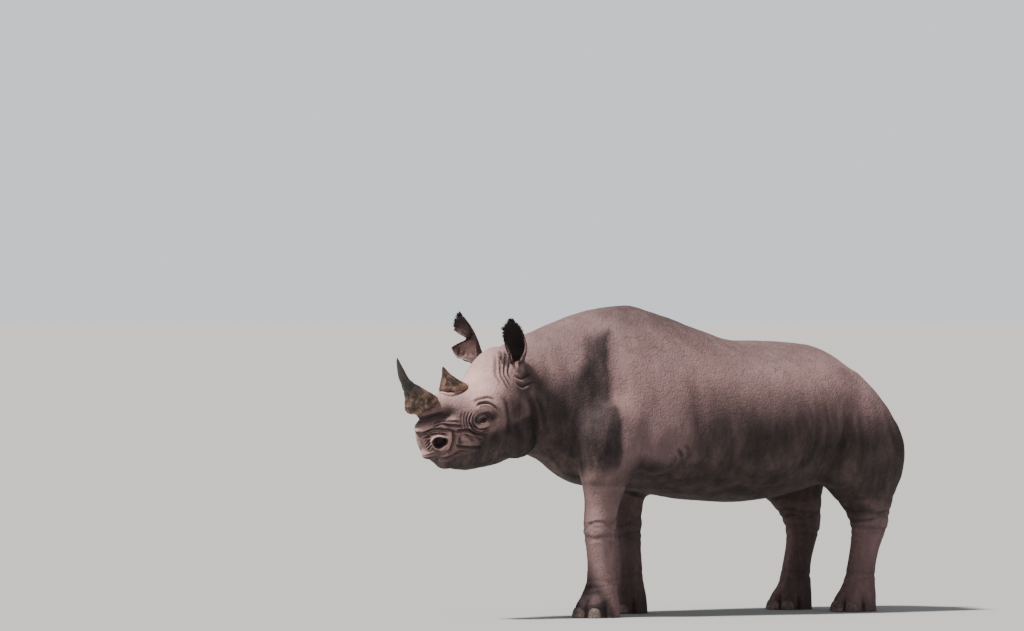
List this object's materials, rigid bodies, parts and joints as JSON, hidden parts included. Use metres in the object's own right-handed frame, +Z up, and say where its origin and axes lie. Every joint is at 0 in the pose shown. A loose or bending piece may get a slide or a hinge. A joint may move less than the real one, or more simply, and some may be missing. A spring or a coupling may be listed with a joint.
{
  "type": "black rhinoceros",
  "caption": "Life-size black rhinoceros standing still on four feet, its left forefoot ahead, with its head held level and turned a little to its left.",
  "frame": {"origin": "on the floor, under the middle of the animal's bounding box", "axes": "+X towards the animal's head, +Y towards its left, +Z up"},
  "size_m": [3.0316, 0.926, 1.5499],
  "materials": {
    "hide": "dry, rough, wrinkled grey-brown skin",
    "horn": "fibrous keratin, rough at the base and smoother to the tip",
    "nail": "worn, dusty keratin",
    "eye": "wet and glossy"
  },
  "bodies": {
    "root": {"head": "hide", "neck": "hide", "trunk": "hide", "tail": "hide", "ear_left": "hide", "ear_right": "hide", "eye_left": "eye", "eye_right": "eye", "horn_front": "horn", "horn_rear": "horn", "foreleg_left": "hide", "forefoot_left": "hide", "foreleg_right": "hide", "forefoot_right": "hide", "hindleg_left": "hide", "hindfoot_left": "hide", "hindleg_right": "hide", "hindfoot_right": "hide", "toenail_fore_left_inner": "nail", "toenail_fore_left_middle": "nail", "toenail_fore_left_outer": "nail", "toenail_fore_right_inner": "nail", "toenail_fore_right_middle": "nail", "toenail_fore_right_outer": "nail", "toenail_hind_left_inner": "nail", "toenail_hind_left_middle": "nail", "toenail_hind_left_outer": "nail", "toenail_hind_right_inner": "nail", "toenail_hind_right_middle": "nail", "toenail_hind_right_outer": "nail"}
  },
  "joints": []
}
